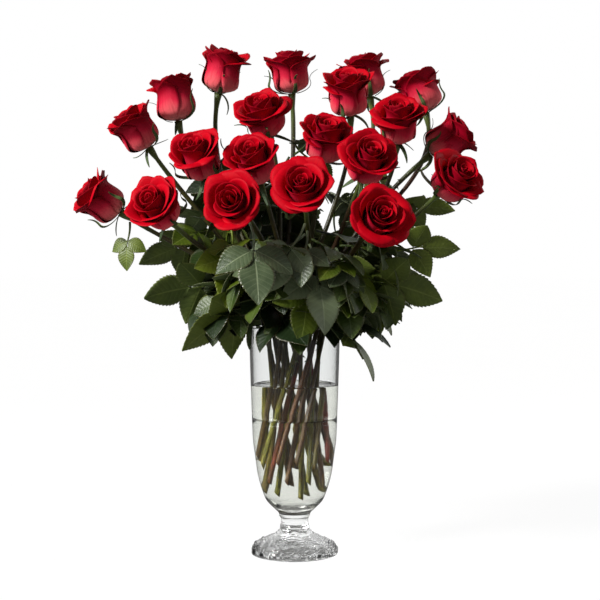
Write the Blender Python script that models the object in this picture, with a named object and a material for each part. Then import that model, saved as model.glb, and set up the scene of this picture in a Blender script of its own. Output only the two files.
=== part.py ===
"""A tall footed glass vase of water holding a hand-tied bunch of long-stemmed red roses.

Metres, +Z up. The origin is the middle of the underside of the vase's foot, and the side
the bunch is made to be seen from faces -Y. Every rose has a flower head and a stem, and
compound leaves stand off the stems. Nothing moves: the bunch simply rests in the vase.
"""
import math

import bpy
import numpy as np
from mathutils import Matrix, Vector

# Driving sizes
VASE_HEIGHT = 0.250      # underside of the foot to the rim
VASE_RADIUS = 0.050      # outside, at the rim
WALL = 0.003             # glass thickness of the bowl
WATER_LEVEL = 0.745      # water surface, as a share of the vase height
STEM_DIA = 0.0056        # an ordinary stem
BLOOM_DIA = 0.056        # an ordinary flower head, across
BLOOM_RATIO = 0.90       # its height, base to rim, over its width
LEAFLET = 0.052          # length of the leaflet at the end of a leaf
GAP = 0.0004             # clearance left between neighbouring pieces

# Outside of the vase: height and radius as shares of the vase height and rim radius
VASE_OUTSIDE = (
    (0.000, 0.930), (0.003, 0.960), (0.026, 0.964), (0.034, 0.930), (0.044, 0.820),
    (0.058, 0.660), (0.074, 0.500), (0.092, 0.385), (0.110, 0.325), (0.122, 0.318),
    (0.134, 0.300), (0.154, 0.306), (0.165, 0.340), (0.180, 0.355), (0.200, 0.455),
    (0.232, 0.610), (0.272, 0.702), (0.348, 0.812), (0.428, 0.870), (0.504, 0.920),
    (0.600, 0.940), (0.744, 0.966), (0.880, 0.986), (0.992, 0.998), (1.000, 0.985),
)
# Inside of the bowl, from the bottom up: height share, and radius over the wall's inner line
BOWL_INSIDE = (
    (0.224, 0.000), (0.228, 0.290), (0.246, 0.545), (0.280, 0.705), (0.348, 0.800),
    (0.428, 0.862), (0.504, 0.915), (0.600, 0.936), (0.744, 0.964), (0.880, 0.985),
    (0.992, 1.000), (1.000, 1.012),
)
VASE_SIDES = 40

# Each rose: across, away from the viewer and above the rim, in flower widths, to the middle
# of the flower; lean to the right and lean to the front in degrees; how open it is, 0 to 1
ROSES = (
    (-1.45, 0.90, 5.15, 12, 10, 0.2),
    (-0.10, 1.10, 5.15, -5, 8, 0.6),
    (1.42, 1.10, 5.08, -14, 4, 0.4),
    (1.05, 0.00, 4.60, -7, 28, 0.3),
    (2.52, 1.20, 4.75, -19, -4, 0.4),
    (-2.40, 0.45, 4.55, -10, 6, 0.1),
    (-0.60, -0.55, 4.10, -18, 34, 0.8),
    (2.00, -0.40, 4.00, 0, 33, 0.6),
    (-3.10, 0.00, 3.90, -33, 16, 0.5),
    (-1.80, -1.30, 3.25, -22, 40, 0.6),
    (-0.75, -1.55, 3.15, -18, 42, 0.7),
    (0.60, -1.05, 3.60, 9, 34, 0.7),
    (1.35, -1.90, 3.15, 18, 50, 0.8),
    (3.05, 0.20, 3.70, 51, 8, 0.3),
    (3.00, -1.10, 2.85, 43, 45, 0.9),
    (-3.75, -0.35, 2.50, -56, 12, 0.5),
    (-2.50, -1.90, 2.30, -39, 50, 0.7),
    (-1.05, -2.70, 2.35, -45, 70, 0.8),
    (0.15, -2.70, 2.60, -10, 62, 0.8),
    (1.50, -2.70, 2.10, 35, 68, 1.0),
)

# The stems cross at a narrow waist inside the vase, in shells: how many stems, the shell's
# radius at the waist over the rim radius, and the sideways run of a stem per unit of height
# above the waist and below it
SHELLS = ((3, 0.13, 0.15, 0.12), (7, 0.31, 0.26, 0.20), (10, 0.49, 0.30, 0.28))
WAIST = 0.70             # height of the waist, as a share of the vase height

# Each leaf: its rose, how far up the stem above the rim (0 to 1), compass direction and
# droop of its stalk, roll of its face in degrees, size, and its number of leaflets
LEAVES = (
    (17, 0.22, 192, -24, 50, 1.10, 3),
    (16, 0.36, 186, -6, 60, 0.95, 3),
    (15, 0.93, -110, -75, 0, 0.50, 3),
    (17, 0.86, -80, -45, 0, 0.95, 3),
    (18, 0.62, -70, -55, 0, 0.95, 3),
    (19, 0.42, -8, -12, -60, 1.00, 3),
    (19, 0.14, -35, -45, -20, 0.90, 3),
    (14, 0.52, -5, 4, -55, 0.80, 3),
    (10, 0.20, -85, -35, 0, 0.80, 3),
    (1, 0.74, -60, 20, 0, 0.70, 3),
    (7, 0.62, 0, 10, -35, 0.80, 3),
    (9, 0.66, 165, 14, 30, 0.75, 3),
    (8, 0.48, 196, -14, 45, 0.85, 3),
    (12, 0.52, -35, -20, 0, 0.85, 3),
    (5, 0.35, 150, -20, 0, 1.00, 5),
    (4, 0.36, 30, -20, 0, 1.00, 5),
    (0, 0.30, 125, -30, 0, 0.90, 5),
    (2, 0.30, 70, -22, 0, 0.90, 5),
)
LEAF_THICKNESS = 0.0008
STALK = 0.0015           # radius of a leaf's stalk where it leaves the stem
LEAF_CLEAR = 0.0045      # room kept round a leaf
STALK_SAMPLES = 12       # points along a stalk when feeling for room
TURNS = (0, 8, -8, 16, -16, 24, -24, 34, -34, 46, -46, 60, -60)
DIPS = (0, 9, -9, 18, -18, 28)


# ---------------------------------------------------------------- where everything goes
def outer_radius(z):
    heights, radii = zip(*VASE_OUTSIDE)
    return float(np.interp(z / VASE_HEIGHT, heights, radii)) * VASE_RADIUS


def inner_radius(z):
    heights, radii = zip(*BOWL_INSIDE)
    return float(np.interp(z / VASE_HEIGHT, heights, radii)) * (VASE_RADIUS - WALL)


def unit(v):
    return v / np.linalg.norm(v)


def rose_axis(lean_right, lean_front):
    right, front = math.radians(lean_right), math.radians(lean_front)
    return np.array((math.sin(right) * math.cos(front), -math.sin(front),
                     math.cos(right) * math.cos(front)))


def rose_frames():
    """Base point, axis, radius and height of every flower."""
    frames = []
    for x, y, z, right, front, openness in ROSES:
        axis = rose_axis(right, front)
        radius = BLOOM_DIA * (0.42 + 0.13 * openness)
        height = BLOOM_DIA * BLOOM_RATIO * (1.04 - 0.10 * openness)
        middle = np.array((x, y, z)) * BLOOM_DIA + np.array((0, 0, VASE_HEIGHT))
        frames.append((middle - axis * height / 2, axis, radius, height))
    return frames


def shell_point(waist, runs, angle, z):
    """A point on one stem of a shell, at height z: straight above the waist and below it."""
    rise = z - WAIST * VASE_HEIGHT
    side = runs[rise < 0] * rise
    return np.array((waist * math.cos(angle) - side * math.sin(angle),
                     waist * math.sin(angle) + side * math.cos(angle), z))


def stem_slots(frames):
    """Give each rose its shell and its place round it: the farther out, the outer the shell."""
    reach = [math.hypot(*(base[:2])) for base, axis, radius, height in frames]
    order = sorted(range(len(frames)), key=lambda i: reach[i])
    slots = {}
    for count, waist, *runs in SHELLS:
        waist *= VASE_RADIUS
        ring = sorted(order[:count], key=lambda i: math.atan2(frames[i][0][1], frames[i][0][0]))
        order = order[count:]
        lead = math.atan2(runs[0] * (1 - WAIST) * VASE_HEIGHT, waist)
        angles = [math.atan2(frames[i][0][1], frames[i][0][0]) for i in ring]
        steps = [a - 2 * math.pi * k / count for k, a in enumerate(angles)]
        start = math.atan2(sum(map(math.sin, steps)), sum(map(math.cos, steps))) - lead
        for k, i in enumerate(ring):
            slots[i] = (waist, runs, start + 2 * math.pi * k / count)
    return [slots[i] for i in range(len(frames))]


def stem_foot(slot, number):
    """Height of a stem's cut end: where it meets the glass, a little more for some."""
    waist, runs, angle = slot
    z = BOWL_INSIDE[0][0] * VASE_HEIGHT + 2 * GAP + STEM_DIA * 0.3
    while True:
        reach = math.hypot(*shell_point(waist, runs, angle, z)[:2])
        if reach + STEM_DIA * 0.62 + 3 * GAP < inner_radius(z):
            return z + VASE_HEIGHT * 0.012 * (number * 7 % 5)
        z += VASE_HEIGHT * 0.002


def stem_path(slot, number, frame, steps=9):
    """Centre line of a stem: bent at the waist in the vase, then curved up to the flower."""
    waist, runs, angle = slot
    base, axis, radius, height = frame
    foot = shell_point(waist, runs, angle, stem_foot(slot, number))
    middle = shell_point(waist, runs, angle, VASE_HEIGHT * WAIST)
    rim = shell_point(waist, runs, angle, VASE_HEIGHT * 1.01)
    end = base - axis * GAP
    span = np.linalg.norm(end - rim)
    one = rim + unit(rim - middle) * span * 0.30
    two = end - axis * span * 0.36
    path = [foot, middle]
    for t in np.linspace(0, 1, steps):
        path.append((1 - t) ** 3 * rim + 3 * (1 - t) ** 2 * t * one
                    + 3 * (1 - t) * t * t * two + t ** 3 * end)
    return path


def along(path, t):
    """Point and direction at share t of the part of a stem above the rim."""
    upper = np.array(path[2:])
    lengths = np.concatenate(([0], np.cumsum(np.linalg.norm(np.diff(upper, axis=0), axis=1))))
    near, ahead = (np.array([np.interp(s * lengths[-1], lengths, upper[:, k]) for k in range(3)])
                   for s in (t, t + 0.05))
    return near, unit(ahead - near)


def leaflet_plan(count):
    """Each leaflet of a leaf: where its stalk joins, its turn sideways and its size."""
    plan = [(1.02, 0, 1.0)]
    for pair in range((count - 1) // 2):
        for side in (1, -1):
            plan.append((0.80 - 0.52 * pair, side * (62 - 6 * pair), 0.86 - 0.12 * pair))
    return plan


def leaf_half_width(s):
    """Half width of a leaflet over its length, at share s of the length."""
    return 0.40 * math.sin(math.pi * s ** 0.82) ** 0.82 * (1 - 0.16 * s) if 0 < s < 1 else 0.0


def leaflet_point(s, v, size):
    """A point of a leaflet: s along it, v across from -1 to 1, with its fold and its droop."""
    half = max(leaf_half_width(s), 0.018)
    return Vector((s * size, v * half * size,
                   (0.10 * abs(v) * half - 0.16 * s * s + 0.05 * s) * size))


def leaflet_matrix(join, turn, size):
    """Place of a leaflet in its leaf: x runs out along the stalk, z is the upper face."""
    return (Matrix.Translation((join * LEAFLET, 0, 0)) @ Matrix.Rotation(math.radians(turn), 4, "Z")
            @ Matrix.Rotation(math.radians(6), 4, "Y") @ Matrix.Translation((0.05 * LEAFLET, 0, 0)))


def leaf_matrix(point, ahead, compass, droop, roll, size):
    """Place of a leaf whose stalk leaves the side of its stem the way it is pointing."""
    turn = (Matrix.Rotation(math.radians(compass), 4, "Z")
            @ Matrix.Rotation(math.radians(-droop), 4, "Y"))
    out = np.array(turn.col[0][:3])
    out = unit(out - ahead * out.dot(ahead))
    point = point + out * (STEM_DIA / 2 + STALK * size + GAP)
    return (Matrix.Translation(Vector(point)) @ turn
            @ Matrix.Rotation(math.radians(roll), 4, "X")
            @ Matrix.Diagonal((size, size, size, 1)))


def leaf_samples(count):
    """Points spread over a leaf, to feel for what is near it: first its stalk, then the rest."""
    points = [Vector((x * LEAFLET, 0, 0)) for x in np.linspace(0.05, 1.0, STALK_SAMPLES)]
    for join, turn, size in leaflet_plan(count):
        place = leaflet_matrix(join, turn, size)
        for s in np.linspace(0.02, 1, 9):
            points += [place @ leaflet_point(s, v, size * LEAFLET) for v in (-1, -0.5, 0, 0.5, 1)]
    return points


def obstacles(paths, frames):
    """Stems and flowers as points, each with a radius and the number of its stem, or -1."""
    spots = []
    for number, path in enumerate(paths):
        for a, b in zip(path, path[1:]):
            count = max(2, int(np.linalg.norm(b - a) / 0.004))
            spots += [(*(a + (b - a) * k / count), STEM_DIA / 2, number) for k in range(count)]
    for base, axis, radius, height in frames:
        spots += [(*(base + axis * height * up), radius * wide, -1)
                  for up, wide in ((0.02, 0.35), (0.35, 0.85), (0.6, 1.0), (0.85, 0.95))]
    return np.array(spots)


def room(points, spots, own):
    """Least distance from a leaf's points to the obstacles and to the glass."""
    spread = points[:, None, :] - spots[None, :, :3]
    gaps = np.linalg.norm(spread, axis=2) - spots[None, :, 3]
    gaps[:STALK_SAMPLES, spots[:, 4] == own] = 1.0
    near = gaps.min()
    low = points[points[:, 2] < VASE_HEIGHT + 0.006]
    if len(low):
        near = min(near, (np.hypot(low[:, 0], low[:, 1]) - VASE_RADIUS).min())
    return near


def place_leaves(paths, frames):
    """Turn each leaf about its stem until it hangs clear of all that is placed before it."""
    spots = obstacles(paths, frames)
    places = []
    for rose, share, compass, droop, roll, size, count in LEAVES:
        point, ahead = along(paths[rose], share)
        samples = leaf_samples(count)
        best = None
        for turn in TURNS:
            for dip in DIPS:
                place = leaf_matrix(point, ahead, compass + turn, droop + dip, roll, size)
                points = np.array([place @ p for p in samples])
                gap = min(room(points, spots, rose), LEAF_CLEAR)
                if best is None or gap > best[0] + 1e-6:
                    best = (gap, place, points)
            if best[0] >= LEAF_CLEAR:
                break
        places.append(best[1])
        bare = np.tile((0.0, -1.0), (len(best[2]), 1))
        spots = np.vstack((spots, np.hstack((best[2], bare))))
    return places


# ---------------------------------------------------------------- building solids
def clear_scene():
    for obj in list(bpy.data.objects):
        bpy.data.objects.remove(obj, do_unlink=True)


def material(name, colour, roughness, metallic=0.0):
    mat = bpy.data.materials.new(name)
    mat.use_nodes = True
    shader = mat.node_tree.nodes["Principled BSDF"]
    shader.inputs["Base Color"].default_value = (*colour, 1)
    shader.inputs["Roughness"].default_value = roughness
    shader.inputs["Metallic"].default_value = metallic
    return mat


def solid(name, points, faces, mat):
    mesh = bpy.data.meshes.new(name)
    mesh.from_pydata([tuple(p) for p in points], [], faces)
    mesh.update()
    obj = bpy.data.objects.new(name, mesh)
    obj.data.materials.append(mat)
    bpy.context.scene.collection.objects.link(obj)
    return obj


def rings_to_solid(name, rings, mat):
    """Skin a row of rings of equal count, closing each end with a fan to its middle."""
    count = len(rings[0])
    points = [p for ring in rings for p in ring]
    faces = []
    for r in range(len(rings) - 1):
        for k in range(count):
            a, b = r * count + k, r * count + (k + 1) % count
            faces.append((a, b, b + count, a + count))
    for ring, start, flip in ((rings[0], 0, True), (rings[-1], (len(rings) - 1) * count, False)):
        points.append(sum((Vector(p) for p in ring), Vector()) / count)
        tip = len(points) - 1
        for k in range(count):
            a, b = start + k, start + (k + 1) % count
            faces.append((b, a, tip) if flip else (a, b, tip))
    return solid(name, points, faces, mat)


def frame_about(direction, hint=(0, 0, 1)):
    """Two directions square to a given one."""
    direction = Vector(direction).normalized()
    side = direction.cross(Vector(hint))
    if side.length < 1e-3:
        side = direction.cross(Vector((1, 0, 0)))
    side.normalize()
    return side, direction.cross(side)


def tube_rings(path, radii, sides):
    """Rings square to a path, carried along it without twisting."""
    path = [Vector(p) for p in path]
    side, up = frame_about(path[1] - path[0], (0, 1, 0))
    rings = []
    for k, (point, radius) in enumerate(zip(path, radii)):
        ahead = (path[min(k + 1, len(path) - 1)] - path[max(k - 1, 0)]).normalized()
        side = (side - ahead * side.dot(ahead)).normalized()
        up = ahead.cross(side)
        rings.append([point + (side * math.cos(2 * math.pi * j / sides)
                               + up * math.sin(2 * math.pi * j / sides)) * radius
                      for j in range(sides)])
    return rings


def turned(name, line, sides, mat):
    """Turn a line of (radius, height) pairs round the z axis; its ends lie on the axis."""
    rings = [[(r * math.cos(2 * math.pi * k / sides), r * math.sin(2 * math.pi * k / sides), z)
              for k in range(sides)] for r, z in line]
    return rings_to_solid(name, rings, mat)


def vase(mat):
    outside = [(r * VASE_RADIUS, z * VASE_HEIGHT) for z, r in VASE_OUTSIDE]
    inside = [(max(r, 0.02) * (VASE_RADIUS - WALL), z * VASE_HEIGHT) for z, r in BOWL_INSIDE]
    return turned("vase", outside + inside[::-1], VASE_SIDES, mat)


def joined(name, pieces, mat):
    """Fuse overlapping solids into one."""
    first = pieces[0]
    for piece in pieces[1:]:
        fuse = first.modifiers.new("fuse", "BOOLEAN")
        fuse.operation = "UNION"
        fuse.solver = "EXACT"
        fuse.object = piece
    bake(first, pieces[1:])
    first.name = name
    first.data.name = name
    return first


def bake(obj, tools):
    """Fix an object's modifiers into its mesh and take away the tools they used."""
    bpy.context.view_layer.update()
    depsgraph = bpy.context.evaluated_depsgraph_get()
    mesh = bpy.data.meshes.new_from_object(obj.evaluated_get(depsgraph))
    obj.modifiers.clear()
    obj.data = mesh
    for tool in tools:
        bpy.data.objects.remove(tool, do_unlink=True)


def water(paths, mat):
    """Everything under the water line inside the bowl, less the room the stems take."""
    level = WATER_LEVEL * VASE_HEIGHT
    scale = VASE_RADIUS - WALL
    line = [(max(r, 0.05) * scale - (GAP if r else 0), z * VASE_HEIGHT + GAP)
            for z, r in BOWL_INSIDE if z * VASE_HEIGHT < level - 0.004]
    line.append((inner_radius(level) - GAP, level))
    body = turned("water", line, VASE_SIDES, mat)
    for k, path in enumerate(paths):
        ahead = unit(path[1] - path[0])
        wet = [path[0] - ahead * GAP, path[1], path[2]]
        reach = [STEM_DIA / 2 + GAP * 1.3] * 3
        tool = rings_to_solid("tool%d" % k, tube_rings(wet, reach, 6), mat)
        tool.hide_render = True
        tool.display_type = "WIRE"
        cut = body.modifiers.new("cut", "BOOLEAN")
        cut.operation = "DIFFERENCE"
        cut.solver = "EXACT"
        cut.object = tool
    bake(body, [o for o in bpy.data.objects if o.name.startswith("tool")])
    return body


def stem(name, path, frame, mat):
    """A stem with its cut end, and the swollen hip just under the flower."""
    base, axis, radius, height = frame
    thin = STEM_DIA / 2
    hip = STEM_DIA * 0.98
    path = list(path)
    end = path.pop()
    path += [end - axis * hip * up for up in (2.6, 1.5, 0.7, 0.0)]
    radii = [thin] * (len(path) - 3) + [hip * 0.80, hip, hip * 0.72]
    return rings_to_solid(name, tube_rings(path, radii, 6), mat)


def bloom(name, frame, mat, sides=12):
    """A flower head: a swelling cup of petals, with the rolled heart inside its rim."""
    base, axis, radius, height = frame
    side, up = frame_about(axis)
    line = ((0.16, 0.0), (0.62, 0.10), (0.90, 0.28), (0.97, 0.52), (0.95, 0.78), (1.0, 0.95),
            (0.88, 0.93), (0.74, 0.84), (0.64, 0.96), (0.42, 0.90), (0.26, 1.0))
    rings = []
    for wide, high in line:
        ring = []
        for k in range(sides):
            turn = 2 * math.pi * k / sides
            lobe = 1 + 0.05 * high * math.cos(3 * turn + 2.0 * high)
            spot = Vector(base) + Vector(axis) * (high * height + GAP)
            ring.append(spot + (side * math.cos(turn) + up * math.sin(turn)) * wide * radius * lobe)
        rings.append(ring)
    return rings_to_solid(name, rings, mat)


def leaflet_solid(name, place, size, mat):
    stations = (-0.06, 0.06, 0.22, 0.45, 0.70, 0.90, 1.0)
    rings = []
    for s in stations:
        upper = [leaflet_point(s, v, size) for v in (-1, 0, 1)]
        lift = Vector((0, 0, LEAF_THICKNESS))
        rings.append([place @ p for p in upper] + [place @ (p - lift) for p in reversed(upper)])
    return rings_to_solid(name, rings, mat)


def leaf(name, place, count, mat):
    """One compound leaf: a stalk with a leaflet at its end and the others in pairs."""
    stalk = [place @ Vector((x * LEAFLET, 0, -0.0002)) for x in (0.0, 0.3, 0.7, 1.09)]
    pieces = [rings_to_solid(name, tube_rings(stalk, (STALK * 0.95, 0.0011, 0.0010, 0.0008), 5), mat)]
    for k, (join, turn, size) in enumerate(leaflet_plan(count)):
        spot = place @ leaflet_matrix(join, turn, size)
        pieces.append(leaflet_solid("leaflet%d" % k, spot, size * LEAFLET, mat))
    return joined(name, pieces, mat)


def build():
    clear_scene()
    frames = rose_frames()
    slots = stem_slots(frames)
    paths = [stem_path(slot, k, frame) for k, (slot, frame) in enumerate(zip(slots, frames))]
    vase(material("clear glass", (0.86, 0.90, 0.89), 0.04))
    water(paths, material("water", (0.72, 0.78, 0.74), 0.03))
    for k, (path, frame) in enumerate(zip(paths, frames), 1):
        shade = 0.9 + 0.05 * (k % 5)
        stem("stem_%02d" % k, path, frame,
             material("stem %02d" % k, (0.10 * shade, 0.13 * shade, 0.03), 0.55))
        bloom("bloom_%02d" % k, frame,
              material("petals %02d" % k, (0.52 * shade, 0.005, 0.02), 0.60))
    for k, (place, spec) in enumerate(zip(place_leaves(paths, frames), LEAVES), 1):
        leaf("leaf_%02d" % k, place, spec[-1],
             material("leaf %02d" % k, (0.03, 0.09 + 0.01 * (k % 4), 0.025), 0.50))


build()
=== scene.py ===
"""The looks of a tall footed glass vase of water with a hand-tied bunch of red roses.

Every flower, stem, leaf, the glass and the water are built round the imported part: the sizes and
places below are the part's own, so each piece lands where its plain solid stands.
"""
import math
from collections import namedtuple

import bpy
import numpy as np
from mathutils import Matrix, Vector


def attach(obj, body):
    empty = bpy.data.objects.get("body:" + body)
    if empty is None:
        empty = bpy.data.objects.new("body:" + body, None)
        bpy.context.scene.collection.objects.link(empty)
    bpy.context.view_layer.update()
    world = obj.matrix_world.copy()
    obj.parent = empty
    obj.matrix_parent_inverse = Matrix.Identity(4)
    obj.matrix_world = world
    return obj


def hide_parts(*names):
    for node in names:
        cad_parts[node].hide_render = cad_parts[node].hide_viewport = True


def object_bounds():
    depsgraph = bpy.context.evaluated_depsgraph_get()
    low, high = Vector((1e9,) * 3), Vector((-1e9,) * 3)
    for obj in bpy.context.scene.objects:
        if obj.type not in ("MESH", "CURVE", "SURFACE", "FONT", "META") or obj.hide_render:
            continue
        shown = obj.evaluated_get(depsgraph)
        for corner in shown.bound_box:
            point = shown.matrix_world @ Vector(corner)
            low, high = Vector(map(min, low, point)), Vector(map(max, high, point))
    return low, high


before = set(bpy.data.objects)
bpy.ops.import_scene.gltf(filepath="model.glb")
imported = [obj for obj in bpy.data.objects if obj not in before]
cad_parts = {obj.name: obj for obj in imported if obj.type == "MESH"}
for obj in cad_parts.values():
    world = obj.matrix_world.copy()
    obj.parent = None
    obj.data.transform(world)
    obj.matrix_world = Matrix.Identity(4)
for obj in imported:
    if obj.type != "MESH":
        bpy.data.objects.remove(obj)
CAD_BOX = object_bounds()

Bloom = namedtuple("Bloom", "base axis radius height")

# Driving sizes, in metres
VASE_HEIGHT = 0.250  # underside of the foot to the rim
VASE_RADIUS = 0.050  # outside, at the rim
WALL = 0.003  # glass thickness of the bowl
WATER_LEVEL = 0.745  # water surface, as a share of the vase height
STEM_DIA = 0.0056  # an ordinary stem
BLOOM_DIA = 0.056  # an ordinary flower head, across
BLOOM_RATIO = 0.90  # its height, base to rim, over its width
LEAFLET = 0.052  # length of the leaflet at the end of a leaf
GAP = 0.0004  # clearance left between neighbouring pieces

# Outside of the vase: height and radius as shares of the vase height and rim radius
VASE_OUTSIDE = (
    (0.000, 0.930), (0.003, 0.960), (0.026, 0.964), (0.034, 0.930), (0.044, 0.820),
    (0.058, 0.660), (0.074, 0.500), (0.092, 0.385), (0.110, 0.325), (0.122, 0.318),
    (0.134, 0.300), (0.154, 0.306), (0.165, 0.340), (0.180, 0.355), (0.200, 0.455),
    (0.232, 0.610), (0.272, 0.702), (0.348, 0.812), (0.428, 0.870), (0.504, 0.920),
    (0.600, 0.940), (0.744, 0.966), (0.880, 0.986), (0.992, 0.998), (1.000, 0.985),
)
# Inside of the bowl, from the bottom up: height share, and radius over the wall's inner line
BOWL_INSIDE = (
    (0.224, 0.000), (0.228, 0.290), (0.246, 0.545), (0.280, 0.705), (0.348, 0.800),
    (0.428, 0.862), (0.504, 0.915), (0.600, 0.936), (0.744, 0.964), (0.880, 0.985),
    (0.992, 1.000), (1.000, 1.012),
)

# Each rose: across, away from the viewer and above the rim, in flower widths, to the middle
# of the flower; lean to the right and lean to the front in degrees; how open it is, 0 to 1
ROSES = (
    (-1.45, 0.90, 5.15, 12, 10, 0.2),
    (-0.10, 1.10, 5.15, -5, 8, 0.6),
    (1.42, 1.10, 5.08, -14, 4, 0.4),
    (1.05, 0.00, 4.60, -7, 28, 0.3),
    (2.52, 1.20, 4.75, -19, -4, 0.4),
    (-2.40, 0.45, 4.55, -10, 6, 0.1),
    (-0.60, -0.55, 4.10, -18, 34, 0.8),
    (2.00, -0.40, 4.00, 0, 33, 0.6),
    (-3.10, 0.00, 3.90, -33, 16, 0.5),
    (-1.80, -1.30, 3.25, -22, 40, 0.6),
    (-0.75, -1.55, 3.15, -18, 42, 0.7),
    (0.60, -1.05, 3.60, 9, 34, 0.7),
    (1.35, -1.90, 3.15, 18, 50, 0.8),
    (3.05, 0.20, 3.70, 51, 8, 0.3),
    (3.00, -1.10, 2.85, 43, 45, 0.9),
    (-3.75, -0.35, 2.50, -56, 12, 0.5),
    (-2.50, -1.90, 2.30, -39, 50, 0.7),
    (-1.05, -2.70, 2.35, -45, 70, 0.8),
    (0.15, -2.70, 2.60, -10, 62, 0.8),
    (1.50, -2.70, 2.10, 35, 68, 1.0),
)

# The stems cross at a narrow waist inside the vase, in shells: how many stems, the shell's
# radius at the waist over the rim radius, and the sideways run of a stem per unit of height
# above the waist and below it
SHELLS = ((3, 0.13, 0.15, 0.12), (7, 0.31, 0.26, 0.20), (10, 0.49, 0.30, 0.28))
WAIST = 0.70  # height of the waist, as a share of the vase height

# Each leaf: its rose, how far up the stem above the rim (0 to 1), compass direction and
# droop of its stalk, roll of its face in degrees, size, and its number of leaflets
LEAVES = (
    (17, 0.22, 192, -24, 50, 1.10, 3),
    (16, 0.36, 186, -6, 60, 0.95, 3),
    (15, 0.93, -110, -75, 0, 0.50, 3),
    (17, 0.86, -80, -45, 0, 0.95, 3),
    (18, 0.62, -70, -55, 0, 0.95, 3),
    (19, 0.42, -8, -12, -60, 1.00, 3),
    (19, 0.14, -35, -45, -20, 0.90, 3),
    (14, 0.52, -5, 4, -55, 0.80, 3),
    (10, 0.20, -85, -35, 0, 0.80, 3),
    (1, 0.74, -60, 20, 0, 0.70, 3),
    (7, 0.62, 0, 10, -35, 0.80, 3),
    (9, 0.66, 165, 14, 30, 0.75, 3),
    (8, 0.48, 196, -14, 45, 0.85, 3),
    (12, 0.52, -35, -20, 0, 0.85, 3),
    (5, 0.35, 150, -20, 0, 1.00, 5),
    (4, 0.36, 30, -20, 0, 1.00, 5),
    (0, 0.30, 125, -30, 0, 0.90, 5),
    (2, 0.30, 70, -22, 0, 0.90, 5),
)
STALK = 0.0015  # radius of a leaf's stalk where it leaves the stem
LEAF_CLEAR = 0.0045  # room kept round a leaf
STALK_SAMPLES = 12  # points along a stalk when feeling for room
TURNS = (0, 8, -8, 16, -16, 24, -24, 34, -34, 46, -46, 60, -60)
DIPS = (0, 9, -9, 18, -18, 28)

# Foliage the part does not count: leaves that fill the bunch between the stems
FILL_TRIES = 4200  # places tried
FILL_LEAVES = 200  # leaves at most
FILL_CLEAR = 0.0003  # room such a leaf needs
FILL_REACH = 0.125  # how far out from the vase's axis it may hang
FILL_TOP = 0.465  # how high up it may reach
FILL_FOOT = 0.022  # how far below the rim it may hang
FILL_SPREAD = 0.25  # farther out it may hang, per unit of height above the rim
GLASS_CLEAR = 0.0045  # room such a leaf keeps to the middle of the glass
FAR_OUT = 0.080  # from here out, and from LIT_HEIGHT up, such leaves take the brighter greens, as painted light
LIT_HEIGHT = VASE_HEIGHT + 0.03

# Flowers
PETALS = 25  # petals to a flower
GOLDEN = math.radians(137.508)
PETAL_THICKNESS = 0.0004
PETAL_ROWS = 17
PETAL_COLUMNS = 15
PETAL_HEEL = 0.0020  # how far from the flower's axis a petal is rooted
PETAL_RISE = math.radians(5)  # how steeply it leaves its root
PETAL_BELLY = math.radians(7)  # how much its wall swells
LIP_LENGTH = 1.1  # length that the roll of its lip is worked out from, over the flower's height
SEPALS = 5
SEPAL_ROWS = 14
SEPAL_COLUMNS = 5
SEPAL_THICKNESS = 0.0005
SEPAL_ROOT = 0.0042  # how far from the flower's axis a sepal is rooted
SEPAL_GAP = 0.0021  # how much farther out it stands where it lies up the flower's side
# Petals that have fallen open: flower, the way it points (right, front, up), its lean from the
# flower's face in degrees, its height over the flower's, its width and the roll of its lip
FALLEN_PETALS = (
    (1, (-1, 0.3, 0.1), 60, 0.98, 34, 30),
    (2, (-1, 0.4, 0.2), 72, 1.00, 46, 60),
    (4, (-1, 0.5, 0.2), 66, 0.90, 58, 70),
    (5, (1, 0.5, 0.0), 60, 0.85, 56, 80),
    (7, (-1, 0.5, -0.3), 48, 0.95, 66, 50),
    (8, (-1, 0.2, -0.3), 60, 0.80, 62, 80),
    (12, (-1, 0.4, 0.0), 46, 0.98, 62, 55),
    (13, (-1, 0.4, -0.1), 62, 0.85, 60, 70),
    (15, (1.0, 0.2, 0.5), 62, 0.80, 50, 90),
    (17, (1.0, 0.3, 0.2), 54, 0.90, 56, 60),
    (18, (-0.4, 0.3, 1.0), 52, 0.72, 66, 60),
)

# Reds up a petal, from its foot to its lip: the face darkens towards its foot as painted shade deep in
# the flower, and the back's pale pink near its foot is partly its own colour and partly painted sheen
PETAL_FACE_SHADED_AT_FOOT = ((0.00, (0.03, 0.0, 0.002)), (0.45, (0.20, 0.0, 0.002)), (0.80, (0.56, 0.0, 0.007)),
              (1.00, (0.42, 0.0, 0.007)))
PETAL_BACK_WITH_SHEEN = ((0.00, (0.95, 0.38, 0.35)), (0.24, (0.88, 0.160, 0.175)),
              (0.58, (0.62, 0.018, 0.052)), (0.80, (0.34, 0.002, 0.018)),
              (1.00, (0.19, 0.0005, 0.006)))

# Leaves
TEETH = 13  # teeth along each side of a leaflet
TOOTH_DEPTH = 0.055  # as a share of the half width
LANES = (-1, -0.86, -0.6, -0.3, -0.05, 0.05, 0.3, 0.6, 0.86, 1)  # rows along it, as half widths
LEAF_NECK = 0.016  # least half width of a leaflet, as a share of its length
BLADE_THICKNESS = 0.00045
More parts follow.
